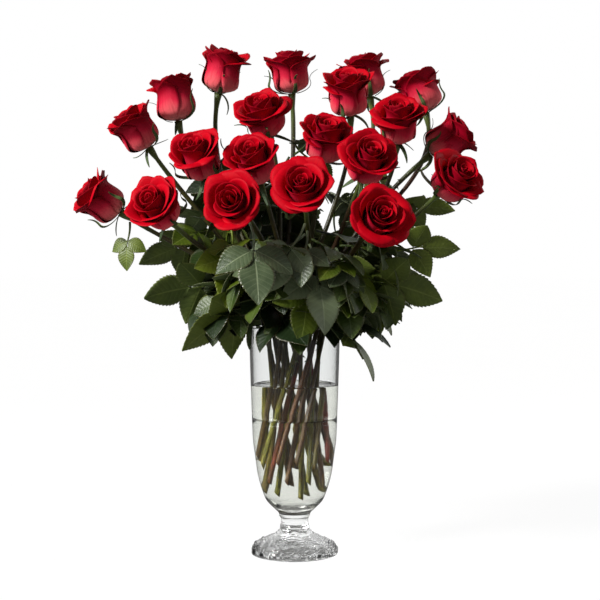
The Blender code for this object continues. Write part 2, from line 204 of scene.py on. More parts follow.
# Greens of a leaf: name, dark and light of the blade, its ribs, and its roughness. The grey green has
# painted sheen in its colour, the fresh green is partly leaf variety and partly painted light, and the
# darkest green is painted shade for leaves deep in the bunch
LEAF_GREENS = (
    ("leaf deep green", (0.012, 0.027, 0.002), (0.052, 0.085, 0.008), (0.10, 0.14, 0.05), 0.22),
    ("leaf grey green with painted sheen", (0.045, 0.068, 0.030), (0.150, 0.190, 0.100), (0.26, 0.31, 0.18), 0.16),
    ("leaf fresh green with painted light", (0.040, 0.070, 0.001), (0.125, 0.170, 0.005), (0.22, 0.27, 0.05), 0.26),
    ("leaf painted shade green", (0.004, 0.011, 0.002), (0.014, 0.030, 0.005), (0.03, 0.05, 0.02), 0.20),
)
SEPAL_GREEN = ("sepal", (0.012, 0.040, 0.006), (0.045, 0.085, 0.014), (0.12, 0.17, 0.05), 0.40)
# Which green each of the counted leaves has, and by turns the further ones: darker greens as painted
# shade deep in the bunch, brighter ones as painted light far out and high up
SHADES = (2, 2, 2, 1, 1, 2, 2, 2, 0, 0, 2, 1, 2, 0, 0, 2, 0, 1)
SHADED_INNER_GREENS = (0, 3, 3)
LIT_OUTER_GREENS = (2, 1, 0)

# Stems
STEM_RADIUS = STEM_DIA * 0.45
HIP = STEM_DIA * 0.98  # radius of the swollen hip under a flower
STEM_SIDES = 12
THORN = 0.0055  # length of a thorn
THORNS = 7  # thorns to a stem
SMOOTH_STEPS = 25  # points on the curve of a stem above the rim
STEM_STEPS = 54  # rings of points along a whole stem
# Skins of a stem: name, dark and light streaks, its sunny side, and its roughness
STEM_SKINS = (
    ("olive stem skin", (0.006, 0.010, 0.001), (0.165, 0.155, 0.010), (0.050, 0.022, 0.004), 0.28),
    ("brown stem skin", (0.005, 0.003, 0.001), (0.085, 0.050, 0.005), (0.050, 0.014, 0.003), 0.30),
    ("reddish stem skin", (0.012, 0.005, 0.001), (0.100, 0.036, 0.004), (0.170, 0.010, 0.004), 0.30),
)
SKIN_OF = (0, 1, 0, 0, 2, 1, 0, 1, 0, 1, 0, 0, 2, 0, 1, 1, 0, 1, 0, 2)

# Studio
FLOOR_REACH = 14.0  # radius of the floor
FLOOR_SIDES = 64
FLOOR_GLOW = 0.945  # what the floor adds to the light that falls on it, to read as white
ROOM_LIGHT = 0.18  # the room as a light
ROOM_SHINE = 0.85  # the room's windows in reflections
LAMP_SIZE = 0.9
LAMP_AIM = (0, 0, 0.36)
EYE = (0.006, -1.50, 0.338)
AIM_HEIGHT = 0.280  # height on the vase's axis that the camera looks at
VIEW_WIDTH = 0.66  # width of what it takes in at the vase's axis
FILM_WIDTH = 36  # mm

# Glass
GLASS_SIDES = 180
LIP_ROUND = 0.0004  # how far the middle of the lip stands above its edges
WATER_SIDES = 96
RING_HEIGHT = 0.150  # a fine ring round the inside of the bowl: a groove in the water, and a painted dark line on the glass
RING_HALF = 0.0014  # half its height
RING_DEPTH = 0.0016  # how far it stands into the water
AXIS = 0.0004  # radius of the smallest ring, round the vase's axis
MENISCUS = ((0.0, 0.0014), (0.0006, 0.0006), (0.0018, 0.0001), (0.004, 0.0))  # inward and up
OVERLAP = 0.00025  # how far the water reaches into the glass, so no air is between them
LAMPLIGHT = 0.94  # share of the lamplight that glass and water let pass


# --- where everything goes
def inner_radius(z):
    heights, radii = zip(*BOWL_INSIDE)
    return float(np.interp(z / VASE_HEIGHT, heights, radii)) * (VASE_RADIUS - WALL)


def unit(v):
    return v / np.linalg.norm(v)


def rose_axis(lean_right, lean_front):
    right, front = math.radians(lean_right), math.radians(lean_front)
    return np.array((math.sin(right) * math.cos(front), -math.sin(front),
                     math.cos(right) * math.cos(front)))


def rose_blooms():
    """Base point, axis, radius and height of every flower."""
    blooms = []
    for x, y, z, right, front, openness in ROSES:
        axis = rose_axis(right, front)
        radius = BLOOM_DIA * (0.42 + 0.13 * openness)
        height = BLOOM_DIA * BLOOM_RATIO * (1.04 - 0.10 * openness)
        middle = np.array((x, y, z)) * BLOOM_DIA + np.array((0, 0, VASE_HEIGHT))
        blooms.append(Bloom(middle - axis * height / 2, axis, radius, height))
    return blooms


def shell_point(waist, runs, angle, z):
    """A point on one stem of a shell, at height z: straight above the waist and below it."""
    rise = z - WAIST * VASE_HEIGHT
    side = runs[rise < 0] * rise
    return np.array((waist * math.cos(angle) - side * math.sin(angle),
                     waist * math.sin(angle) + side * math.cos(angle), z))


def stem_slots(blooms):
    """Give each rose its shell and its place round it: the farther out, the outer the shell."""
    reach = [math.hypot(*bloom.base[:2]) for bloom in blooms]
    bearing = [math.atan2(bloom.base[1], bloom.base[0]) for bloom in blooms]
    order = sorted(range(len(blooms)), key=lambda i: reach[i])
    slots = {}
    for count, waist, *runs in SHELLS:
        waist *= VASE_RADIUS
        ring = sorted(order[:count], key=lambda i: bearing[i])
        order = order[count:]
        lead = math.atan2(runs[0] * (1 - WAIST) * VASE_HEIGHT, waist)
        steps = [bearing[i] - 2 * math.pi * k / count for k, i in enumerate(ring)]
        start = math.atan2(sum(map(math.sin, steps)), sum(map(math.cos, steps))) - lead
        for k, i in enumerate(ring):
            slots[i] = (waist, runs, start + 2 * math.pi * k / count)
    return [slots[i] for i in range(len(blooms))]


def stem_foot(slot, number):
    """Height of a stem's cut end: where it meets the glass, a little more for some."""
    waist, runs, angle = slot
    z = BOWL_INSIDE[0][0] * VASE_HEIGHT + 2 * GAP + STEM_DIA * 0.3
    while True:
        reach = math.hypot(*shell_point(waist, runs, angle, z)[:2])
        if reach + STEM_DIA * 0.62 + 3 * GAP < inner_radius(z):
            return z + VASE_HEIGHT * 0.012 * (number * 7 % 5)
        z += VASE_HEIGHT * 0.002


def stem_path(slot, number, bloom, steps=9):
    """Centre line of a stem: bent at the waist in the vase, then curved up to the flower."""
    waist, runs, angle = slot
    foot = shell_point(waist, runs, angle, stem_foot(slot, number))
    middle = shell_point(waist, runs, angle, VASE_HEIGHT * WAIST)
    rim = shell_point(waist, runs, angle, VASE_HEIGHT * 1.01)
    end = bloom.base - bloom.axis * GAP
    span = np.linalg.norm(end - rim)
    one = rim + unit(rim - middle) * span * 0.30
    two = end - bloom.axis * span * 0.36
    path = [foot, middle]
    for t in np.linspace(0, 1, steps):
        path.append((1 - t) ** 3 * rim + 3 * (1 - t) ** 2 * t * one
                    + 3 * (1 - t) * t * t * two + t ** 3 * end)
    return path


def lengths_along(line):
    """How far along a line of points each of them lies."""
    return np.concatenate(([0], np.cumsum(np.linalg.norm(np.diff(line, axis=0), axis=1))))


def along(path, t):
    """Point and direction at share t of the part of a stem above the rim."""
    upper = np.array(path[2:])
    lengths = lengths_along(upper)
    near, ahead = (np.array([np.interp(s * lengths[-1], lengths, upper[:, k]) for k in range(3)])
                   for s in (t, t + 0.05))
    return near, unit(ahead - near)


def leaflet_plan(count):
    """Each leaflet of a leaf: where its stalk joins, its turn sideways and its size."""
    plan = [(1.02, 0, 1.0)]
    for pair in range((count - 1) // 2):
        for side in (1, -1):
            plan.append((0.80 - 0.52 * pair, side * (62 - 6 * pair), 0.86 - 0.12 * pair))
    return plan


def leaf_half_width(s):
    """Half width of a leaflet over its length, at share s of the length."""
    return 0.40 * math.sin(math.pi * s ** 0.82) ** 0.82 * (1 - 0.16 * s) if 0 < s < 1 else 0.0


def leaflet_point(s, v, size):
    """A point of a leaflet: s along it, v across from -1 to 1, with its fold and its droop."""
    half = max(leaf_half_width(s), 0.018)
    return Vector((s * size, v * half * size,
                   (0.10 * abs(v) * half - 0.16 * s * s + 0.05 * s) * size))


def leaflet_matrix(join, turn):
    """Place of a leaflet in its leaf: x runs out along the stalk, z is the upper face."""
    return (Matrix.Translation((join * LEAFLET, 0, 0)) @ Matrix.Rotation(math.radians(turn), 4, "Z")
            @ Matrix.Rotation(math.radians(6), 4, "Y") @ Matrix.Translation((0.05 * LEAFLET, 0, 0)))


def leaf_matrix(point, ahead, compass, droop, roll, size):
    """Place of a leaf whose stalk leaves the side of its stem the way it is pointing."""
    turn = (Matrix.Rotation(math.radians(compass), 4, "Z")
            @ Matrix.Rotation(math.radians(-droop), 4, "Y"))
    out = np.array(turn.col[0][:3])
    out = unit(out - ahead * out.dot(ahead))
    point = point + out * (STEM_DIA / 2 + STALK * size + GAP)
    return (Matrix.Translation(Vector(point)) @ turn
            @ Matrix.Rotation(math.radians(roll), 4, "X")
            @ Matrix.Diagonal((size, size, size, 1)))


def leaf_samples(count):
    """Points spread over a leaf, to feel for what is near it: first its stalk, then the rest."""
    points = [Vector((x * LEAFLET, 0, 0)) for x in np.linspace(0.05, 1.0, STALK_SAMPLES)]
    for join, turn, size in leaflet_plan(count):
        place = leaflet_matrix(join, turn)
        for s in np.linspace(0.02, 1, 9):
            points += [place @ leaflet_point(s, v, size * LEAFLET) for v in (-1, -0.5, 0, 0.5, 1)]
    return points


def obstacles(paths, blooms):
    """Stems and flowers as points, each with a radius and the number of its stem, or -1."""
    spots = []
    for number, path in enumerate(paths):
        for a, b in zip(path, path[1:]):
            count = max(2, int(np.linalg.norm(b - a) / 0.004))
            spots += [(*(a + (b - a) * k / count), STEM_DIA / 2, number) for k in range(count)]
    for base, axis, radius, height in blooms:
        spots += [(*(base + axis * height * up), radius * wide, -1)
                  for up, wide in ((0.02, 0.35), (0.35, 0.85), (0.6, 1.0), (0.85, 0.95))]
    return np.array(spots)


def with_leaf(spots, points):
    """The obstacles with a placed leaf's points added, which have no radius and no stem."""
    bare = np.tile((0.0, -1.0), (len(points), 1))
    return np.vstack((spots, np.hstack((points, bare))))


def room(points, spots, own):
    """Least distance from a leaf's points to the obstacles and to the glass."""
    reach = spots[:, 3:4] + LEAF_CLEAR
    near = np.all((spots[:, :3] > points.min(axis=0) - reach)
                  & (spots[:, :3] < points.max(axis=0) + reach), axis=1)
    spots = spots[near]
    if not len(spots):
        spots = np.array([(9.0, 9.0, 9.0, 0.0, -1.0)])
    spread = points[:, None, :] - spots[None, :, :3]
    gaps = np.linalg.norm(spread, axis=2) - spots[None, :, 3]
    gaps[:STALK_SAMPLES, spots[:, 4] == own] = 1.0
    near = gaps.min()
    low = points[points[:, 2] < VASE_HEIGHT + 0.006]
    if len(low):
        near = min(near, (np.hypot(low[:, 0], low[:, 1]) - VASE_RADIUS).min())
    return near


def place_leaves(paths, blooms):
    """Turn each leaf about its stem until it hangs clear of all that is placed before it."""
    spots = obstacles(paths, blooms)
    places = []
    for rose, share, compass, droop, roll, size, count in LEAVES:
        point, ahead = along(paths[rose], share)
        samples = leaf_samples(count)
        best = None
        for turn in TURNS:
            for dip in DIPS:
                place = leaf_matrix(point, ahead, compass + turn, droop + dip, roll, size)
                points = np.array([place @ p for p in samples])
                gap = min(room(points, spots, rose), LEAF_CLEAR)
                if best is None or gap > best[0] + 1e-6:
                    best = (gap, place, points)
            if best[0] >= LEAF_CLEAR:
                break
        places.append(best[1])
        spots = with_leaf(spots, best[2])
    return places


# --- paints
def sum_of(operation, turned=False):
    """A method of Value that adds one kind of Math node."""
    def method(self, other=0.0):
        pair = (other, self) if turned else (self, other)
        return self.paint.node("Math", {"operation": operation}, dict(enumerate(pair)))
    return method


class Value:
    """A socket that can be used in sums: each sum adds its Math node."""

    def __init__(self, paint, socket):
        self.paint = paint
        self.socket = socket

    __add__ = __radd__ = sum_of("ADD")
    __sub__ = sum_of("SUBTRACT")
    __rsub__ = sum_of("SUBTRACT", turned=True)
    __mul__ = __rmul__ = sum_of("MULTIPLY")
    __truediv__ = sum_of("DIVIDE")
    __pow__ = sum_of("POWER")
    __abs__ = sum_of("ABSOLUTE")
    fraction = sum_of("FRACT")
    at_most = sum_of("MINIMUM")
    at_least = sum_of("MAXIMUM")


class Paint:
    """A finish being mixed, or the room's light: its shader and the nodes that feed it."""

    def __init__(self, name, owner=bpy.data.materials, shader="Principled BSDF", **fixed):
        self.mat = owner.new(name)
        self.mat.use_nodes = True
        self.tree = self.mat.node_tree
        self.shader = self.tree.nodes[shader]
        for socket, value in fixed.items():
            self.plug(self.shader.inputs[socket.replace("_", " ")], value)

    def plug(self, socket, value):
        if isinstance(value, Value):
            self.tree.links.new(value.socket, socket)
        elif hasattr(socket.default_value, "__len__") and len(value) < len(socket.default_value):
            socket.default_value = (*value, 1.0)
        else:
            socket.default_value = value

    def node(self, kind, settings=None, sockets=None, output=0):
        """Add a node, its settings first, then its sockets' values or links; give an output."""
        new = self.tree.nodes.new("ShaderNode" + kind)
        for key, value in (settings or {}).items():
            setattr(new, key, value)
        for key, value in (sockets or {}).items():
            self.plug(new.inputs[key], value)
        return Value(self, new.outputs[output])

    def split(self, value):
        """The three parts of a colour, or of a direction or place: right, deep and high."""
        return [self.node("SeparateXYZ", sockets={0: value}, output=k) for k in range(3)]

    def marks(self):
        """Along, across and chance, as painted on the points of a piece, and its side."""
        colour, side = (self.node("Attribute", {"attribute_name": "marks"}, output=name)
                        for name in ("Color", "Alpha"))
        return (*self.split(colour), side)

    def noise(self, scale, detail=3.0):
        place = self.node("TexCoord", output="Object")
        return self.node("TexNoise", sockets={"Vector": place, "Scale": scale, "Detail": detail})

    def streaks(self, across, along, detail):
        """Noise drawn out along a piece, from two coordinates of its own."""
        place = self.node("CombineXYZ", sockets={0: across, 1: along})
        return self.node("TexNoise", {"noise_dimensions": "2D"},
                         {"Vector": place, "Scale": 1.0, "Detail": detail, "Roughness": 0.6})

    def ramp(self, value, *stops):
        """A colour that runs through (place, colour) stops as a value goes from 0 to 1."""
        new = self.node("ValToRGB", sockets={0: value})
        elements = new.socket.node.color_ramp.elements
        while len(elements) < len(stops):
            elements.new(0.5)
        for element, (place, colour) in zip(elements, stops):
            element.position = place
            element.color = (*colour, 1.0)
        return new

    def band(self, value, low, high):
        """0 below low, 1 above high, and smooth between them."""
        return self.node("MapRange", {"interpolation_type": "SMOOTHSTEP"},
                         {0: value, 1: low, 2: high})

    def blend(self, share, first, second, how="MIX"):
        return self.node("Mix", {"data_type": "RGBA", "blend_type": how},
                         {0: share, 6: first, 7: second}, output=2)

    def finish(self, colour, roughness=None):
        self.plug(self.shader.inputs["Base Color"], colour)
        if roughness:
            self.plug(self.shader.inputs["Roughness"], roughness)

    def bump(self, height, depth, strength):
        normal = self.node("Bump", sockets={"Height": height, "Distance": depth,
                                            "Strength": strength})
        self.plug(self.shader.inputs["Normal"], normal)


def petal_paint():
    """Velvety deep red with painted shade towards the foot of each face, paler and pinker on the backs
    partly as painted sheen, with fine veins up each petal.
    """
    paint = Paint("rose petal", Specular_IOR_Level=0.06)
    along, across, chance, back = paint.marks()
    veins = paint.streaks(across * 26.0, along * 2.2 + chance * 40.0, 4.0)
    mottle = paint.noise(90.0, 3.0)
    # Painted shade down each face towards its foot, and painted sheen in the pale pink low on each
    # back
    colour = paint.blend(back, paint.ramp(along, *PETAL_FACE_SHADED_AT_FOOT), paint.ramp(along, *PETAL_BACK_WITH_SHEEN))
    colour = paint.blend(paint.band(veins, 0.40, 0.75) * 0.28, colour, (0.26, 0.0, 0.006))
    colour = paint.blend(chance * 0.16, colour, (0.40, 0.0, 0.012))
    paint.finish(paint.blend(mottle * 0.12, colour, (0.14, 0.0, 0.005)), 0.50 + mottle * 0.14)
    paint.bump(veins * 0.6 + mottle * 0.4, 0.0002, 0.35)
    return paint.mat


def stem_paint(name, low, high, warm, gloss):
    """A stem's skin: streaks along it, a reddish side, small pale flecks and painted shade from
    partway up.
    """
    paint = Paint(name, Specular_IOR_Level=0.45)
    along, across, chance = paint.marks()[:3]
    streak = paint.streaks(across * 14.0, along * 9.0 + chance * 30.0, 5.0)
    cloud = paint.noise(55.0, 2.0)
    colour = paint.blend(paint.band(streak, 0.3, 0.7), low, high)
    blush = paint.band(cloud * 0.7 + chance * 0.5, 0.50, 0.85)
    colour = paint.blend(blush * 0.75, colour, warm)
    flecks = paint.band(paint.noise(900.0, 1.0), 0.66, 0.72)
    # Painted shade: from a third to half of the way up, the stem turns dark, for the shade under the
    # foliage; the green near the flower is laid over it
    painted_shade_above_water = paint.band(along, 0.32, 0.50)
    colour = paint.blend(painted_shade_above_water * 0.72, colour, (0.016, 0.016, 0.005))
    tip = paint.band(along, 0.86, 0.99)
    colour = paint.blend(tip * 0.85, colour, (0.10, 0.15, 0.03))
    paint.finish(paint.blend(flecks * 0.3, colour, (0.20, 0.18, 0.06)), gloss + streak * 0.2)
    paint.bump(streak, 0.0006, 0.6)
    return paint.mat


def leaf_paint(name, dark, light, rib, gloss):
    """A rose leaf: quilted between pale ribs, glossy above and dull and paler beneath."""
    paint = Paint(name, Specular_IOR_Level=0.5)
    along, across, chance, under = paint.marks()
    out = abs(across * 2.0 - 1.0)
    rise = along * 9.0 - out * 1.7
    rib_gap = abs((rise + 0.5).fraction() - 0.5)
    side_ribs = 1.0 - paint.band(rib_gap, 0.02, 0.11)
    middle = 1.0 - paint.band(out, 0.02, 0.07)
    mesh_ribs = paint.node("TexVoronoi", {"feature": "DISTANCE_TO_EDGE"}, {
        "Vector": paint.node("CombineXYZ", sockets={0: along * 3.0, 1: across * 2.0, 2: chance * 9.0}),
        "Scale": 8.0})
    fine = 1.0 - paint.band(mesh_ribs, 0.01, 0.06)
    ribs = (side_ribs * 0.34 + fine * 0.12).at_most(1.0).at_least(middle)
    cloud = paint.noise(40.0, 4.0)
    colour = paint.blend(paint.band(cloud * 0.8 + chance * 0.4, 0.35, 0.85), dark, light)
    colour = paint.blend(paint.band(out, 0.86, 1.0) * 0.35, colour, (0.10, 0.07, 0.02))
    colour = paint.blend(ribs * 0.50, colour, rib)
    pale = paint.blend(ribs * 0.4, (0.090, 0.122, 0.026), (0.15, 0.20, 0.06))
    paint.finish(paint.blend(under * 0.35, colour, pale), gloss + 0.10 + cloud * 0.2 + under * 0.20)
    swell = paint.band(rib_gap, 0.0, 0.5)
    paint.bump(swell * 0.35 - middle * 0.6 - fine * 0.10 + cloud * 0.25, 0.0007, 0.45)
    return paint.mat


def lit_through(paint):
    """Let lamplight pass, so that what stands in the glass is lit and not in the dark."""
    clear = paint.node("BsdfTransparent", sockets={"Color": (LAMPLIGHT,) * 3})
    shadow = paint.node("LightPath", output="Is Shadow Ray")
    solid = Value(paint, paint.shader.outputs[0])
    lit = paint.node("MixShader", sockets={0: shadow, 1: solid, 2: clear})
    paint.tree.links.new(lit.socket, paint.tree.nodes["Material Output"].inputs["Surface"])
    return paint.mat


def glass_paint():
    paint = Paint("clear glass", Transmission_Weight=1.0, IOR=1.50)
    smear = paint.noise(26.0, 2.0)
    clear = paint.blend(smear, (0.99, 0.995, 0.99), (0.95, 0.965, 0.96))
    right, deep, high = paint.split(paint.node("TexCoord", output="Object"))
    # Painted shade: a dark line round the inside of the bowl at the ring, standing for the dark line
    # its refraction shows
    ring = 1.0 - paint.band(abs(high - RING_HEIGHT), 0.0004, 0.0013)
    lining = 1.0 - paint.band((right * right + deep * deep) ** 0.5, inner_radius(RING_HEIGHT),
                              inner_radius(RING_HEIGHT) + 0.0010)
    paint.finish(paint.blend(ring * lining * 0.85, clear, (0.20, 0.21, 0.15)),
                 paint.band(smear, 0.55, 0.95) * 0.01)
    paint.bump(paint.noise(120.0, 2.0), 0.0002, 0.2)
    return lit_through(paint)


def water_paint():
    paint = Paint("water", Transmission_Weight=1.0, IOR=1.333)
    haze = paint.noise(18.0, 2.0)
    paint.finish(paint.blend(haze, (0.89, 0.90, 0.83), (0.94, 0.94, 0.89)), haze * 0.004)
    paint.bump(paint.noise(70.0, 1.0), 0.0002, 0.1)
    return lit_through(paint)


# --- gathering points into pieces
def put(name, data):
    """Stand a mesh, a lamp or a camera in the scene."""
    obj = bpy.data.objects.new(name, data)
    bpy.context.scene.collection.objects.link(obj)
    return obj


class Body:
    """Points and faces gathered into one piece, each point with its four painted marks."""

    def __init__(self):
        self.points, self.faces, self.marks, self.count = [], [], [], 0

    def add(self, points, faces, marks):
        self.points.append(np.asarray(points, dtype=float))
        self.marks.append(np.asarray(marks, dtype=float))
        self.faces += [tuple(int(i) + self.count for i in face) for face in faces]
        self.count += len(points)

    def make(self, name, material, slot, *nodes):
        """Make the piece, let it stand for its nodes, and let it ride with the vase."""
        mesh = bpy.data.meshes.new(name)
        mesh.from_pydata([tuple(p) for p in np.vstack(self.points)], [], self.faces)
        layer = mesh.attributes.new("marks", "FLOAT_COLOR", "POINT")
        layer.data.foreach_set("color", np.vstack(self.marks).ravel())
        mesh.polygons.foreach_set("use_smooth", [True] * len(mesh.polygons))
        mesh.update()
        mesh.materials.append(material)
        obj = put(name, mesh)
        if nodes:
            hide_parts(*nodes)
        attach(obj, "root")


def thin_skin_faces(rows, columns):
    """Faces of a sheet with two sides and a rim: the front's points come first."""
    size = rows * columns
    front = np.arange(size).reshape(rows, columns)
    corners = (front[:-1, :-1], front[:-1, 1:], front[1:, 1:], front[1:, :-1])
    faces = np.stack(corners, axis=2).reshape(-1, 4)
    rim = [*front[0], *front[1:, -1], *front[-1, -2::-1], *front[-2:0:-1, 0]]
    edge = [(b, a, a + size, b + size) for a, b in zip(rim, rim[1:] + rim[:1])]
    return faces.tolist() + (faces[:, ::-1] + size).tolist() + edge


def thin_skin(grid, thickness):
    """Front and back points of a sheet given as rows of points."""
    normal = np.cross(np.gradient(grid, axis=1), np.gradient(grid, axis=0))
    normal /= np.maximum(np.linalg.norm(normal, axis=2, keepdims=True), 1e-12)
    return np.vstack([(grid + normal * side * thickness / 2).reshape(-1, 3) for side in (1, -1)])


def sheet_marks(along, across, chance):
    """Marks of a sheet's front and back points, from its own coordinates from 0 to 1."""
    flat = np.stack((along.ravel(), across.ravel(), np.full(along.size, chance)), axis=1)
    return np.vstack([np.insert(flat, 3, side, axis=1) for side in (1, 0)])


def round_faces(rings, sides):
    """Faces between rings of points, and a fan at each end round the last two points."""
    turns = [(c, (c + 1) % sides) for c in range(sides)]
    starts = range(0, (rings - 1) * sides, sides)
    faces = [(r + a, r + b, r + b + sides, r + a + sides) for r in starts for a, b in turns]
    end, last = (rings - 1) * sides, rings * sides
    for a, b in turns:
        faces += [(b, a, last), (end + a, end + b, last + 1)]
    return faces


def tube(body, path, radii, sides, chance, ends=(0.0, 1.0), slant=0.0):
    """A closed round tube along a path, marked along and round it; its start may be slanted."""
    path = np.asarray(path, dtype=float)
    ahead = np.gradient(path, axis=0)
    ahead /= np.linalg.norm(ahead, axis=1, keepdims=True)
    side = np.cross(ahead[0], (0.31, 0.95, 0.07))
    rings = []
    turns = np.linspace(0, 2 * math.pi, sides, endpoint=False)
    for k, (point, direction, radius) in enumerate(zip(path, ahead, radii)):
        side = side - direction * side.dot(direction)
        side /= np.linalg.norm(side)
        up = np.cross(direction, side)
        rings.append(point + radius * (np.outer(np.cos(turns), side) + np.outer(np.sin(turns), up)))
        if k == 0:
            rings[0] += np.outer((1 + np.cos(turns)) * radius * slant, direction)
    points = np.vstack(rings + [path[:1] + ahead[0] * radii[0] * slant, path[-1:]])
    marks = [(share, abs(turn / math.pi - 1), chance, 0)
             for share in np.linspace(*ends, len(path)) for turn in turns]
    body.add(points, round_faces(len(path), sides), marks + [marks[0], marks[-sides]])


# --- flowers
def petal_grid(reach, height, wrap, lean, roll, tip, slope, ruffle, phase, turn, top):
    """One petal standing on the origin: a round-bottomed cup wall with a rolled lip."""
    u, v = np.meshgrid(np.linspace(-1, 1, PETAL_COLUMNS), np.linspace(0, 1, PETAL_ROWS) ** 0.9)
    edge = np.abs(u)
    bend = 0.14 + 0.42 * reach / height
    s = v * (1 - 0.24 * edge ** 2.8 + tip * (1 - edge) ** 2.0)
    cup = PETAL_RISE + (lean - PETAL_RISE) * np.minimum(s / bend, 1) ** 0.8
    cup = cup + PETAL_BELLY * np.sin(math.pi * np.clip((s - bend) / (0.85 - bend), 0, 1))
    lip = np.clip((s - (0.80 - 0.10 * edge)) / 0.20, 0, 1.3)
    bent = cup - roll * (0.60 + 0.50 * edge ** 2) * lip ** 1.2
    step = np.diff(s, axis=0, prepend=0)
    (r, curl_out), (h, curl_up) = (
        (np.cumsum(part(cup) * step, axis=0),
         np.cumsum((part(bent) - part(cup)) * step, axis=0) * height * LIP_LENGTH)
        for part in (np.cos, np.sin))
    middle = PETAL_COLUMNS // 2
    r = PETAL_HEEL + r * (reach - PETAL_HEEL) / r[:, middle].max() + curl_out
    h = h * top / h[:, middle].max() + curl_up
    wave = ruffle * np.sin(2.2 * math.pi * u + phase) * s ** 5
    r = r * (1 + slope * u * np.minimum(s / 0.4, 1)) + wave
    a = turn + wrap * u * (0.62 + 0.38 * np.sin(0.5 * math.pi * np.minimum(s / 0.55, 1)))
    return np.stack((r * np.cos(a), r * np.sin(a), h + wave * 0.6), axis=2), v, (u + 1) / 2


def petal_shape(share, openness, radius, height, rng):
    """How a petal is cut and bent: share runs from 0 for the innermost to 1 for the outermost."""
    wild = rng.uniform(-1, 1, 6)
    heart = max(0.0, 1 - share / 0.36)
    outer = min(max((share - 0.56) / 0.22, 0.0), 1.0)
    outer = outer * outer * (3 - 2 * outer)
    reach = radius * (0.06 + (0.72 - 0.10 * openness) * share ** 0.85 + 0.015 * wild[5]
                      + (0.10 + 0.10 * openness) * outer)
    top = height * (0.93 + 0.03 * min(share / 0.4, 1) + 0.03 * wild[0]
                    + (0.05 - (0.06 + 0.14 * share) * openness) * outer)
    lean = math.radians(89 + 6 * heart - 12 * openness * share ** 1.5 + 2 * wild[1])
    flung = max(wild[2], 0.0) ** 2
    roll = math.radians((1 - heart) * (8 + 14 * share)
                        + outer * (12 + 22 * openness * share + 75 * flung))
    wrap = math.radians(150 * heart + (1 - heart) * (104 - 36 * share))
    return dict(reach=reach, height=height, wrap=wrap, lean=lean, roll=roll, top=top,
                tip=0.02 + 0.13 * outer * (0.7 + 0.3 * wild[3]), slope=0.24 * heart + 0.045,
                ruffle=radius * (0.004 + 0.030 * outer), phase=3 * wild[4])


def flower(number, bloom, openness, material, sepal_material):
    base, axis, radius, height = bloom
    rng = np.random.default_rng(100 + number)
    spin = rng.uniform(0, 2 * math.pi)
    turn = np.array(Vector((0, 0, 1)).rotation_difference(Vector(axis)).to_matrix())
    faces = thin_skin_faces(PETAL_ROWS, PETAL_COLUMNS)
    body = Body()
    for k in range(PETALS):
        share = k / (PETALS - 1)
        shape = petal_shape(share, openness, radius, height, rng)
        grid, along, across = petal_grid(turn=spin + GOLDEN * k + 0.12 * rng.uniform(-1, 1), **shape)
        grid = grid @ turn.T + base
        body.add(thin_skin(grid, PETAL_THICKNESS), faces,
                 sheet_marks(along, across, rng.uniform()))
    for which, way, lean, tall, wrap, roll in FALLEN_PETALS:
        if which != number:
            continue
        local = turn.T @ np.array((way[0], -way[1], way[2]))
        grid, along, across = petal_grid(
            reach=radius * 0.84, height=height, wrap=math.radians(wrap), lean=math.radians(lean),
            roll=math.radians(roll), tip=0.06, slope=0.03, ruffle=radius * 0.03, phase=number,
            turn=math.atan2(local[1], local[0]), top=height * tall * math.sin(math.radians(lean)))
        grid = grid @ turn.T + base
        body.add(thin_skin(grid, PETAL_THICKNESS), faces, sheet_marks(along, across, 0.3))
    body.make("petals_%02d" % number, material, "rose_petals", "bloom_%02d" % number)
    sepals(number, bloom, turn, rng, sepal_material)


def sepal_grid(height, radius, rng):
    """A sepal out along +X from the flower's base: lying up its side, or curling down and out."""
    v, u = np.meshgrid(np.linspace(0, 1, SEPAL_ROWS), np.linspace(-1, 1, SEPAL_COLUMNS),
                       indexing="ij")
    hugging = rng.uniform() < 0.6
    length = height * (rng.uniform(0.55, 0.72) if hugging else rng.uniform(0.38, 0.60))
    if hugging:
        peel = math.radians(rng.uniform(15, 90))
        angle = (np.radians(4 + 92 * np.minimum(v / 0.55, 1) ** 0.8)
                 - peel * np.maximum(v - 0.62, 0) / 0.38)
    else:
        droop, curl = rng.uniform(10, 70), rng.uniform(-60, 60)
        angle = np.radians(-10 - droop * v ** 0.7) + np.radians(curl) * v ** 2
    step = length / (SEPAL_ROWS - 1)
    r = np.cumsum(np.cos(angle) * step, axis=0) - step
    h = np.cumsum(np.sin(angle) * step, axis=0) - 0.0012
    if hugging:
        r = r * radius * 0.91 / r.max() + SEPAL_GAP
    half = 0.0030 * (1 - v) ** 0.8 * (0.70 + 0.6 * v) + 0.00025
    sway = 0.004 * rng.uniform(-1, 1) * v ** 2
    return np.stack((r + SEPAL_ROOT, u * half + sway, h + 0.15 * np.abs(u) * half), axis=2), v, u


def sepals(number, bloom, turn, rng, material):
    """Five narrow green sepals round the foot of a flower."""
    body = Body()
    start = rng.uniform(0, 2 * math.pi)
    for k in range(SEPALS):
        grid, v, u = sepal_grid(bloom.height, bloom.radius, rng)
        a = start + 2 * math.pi * k / SEPALS + 0.2 * rng.uniform(-1, 1)
        spin = np.array(Matrix.Rotation(a, 3, "Z"))
        grid = grid @ spin.T @ turn.T + bloom.base
        body.add(thin_skin(grid, SEPAL_THICKNESS), thin_skin_faces(SEPAL_ROWS, SEPAL_COLUMNS),
                 sheet_marks(v, (u + 1) / 2, rng.uniform()))
    body.make("sepals_%02d" % number, material, "rose_leaves")


# --- stems
def stem_line(path):
    """The stem's centre line, evenly stepped and smooth."""
    path = np.array(path)
    lengths = lengths_along(path)
    wanted = np.linspace(0, lengths[-1], STEM_STEPS)
    return np.stack([np.interp(wanted, lengths, path[:, k]) for k in range(3)], axis=1), wanted


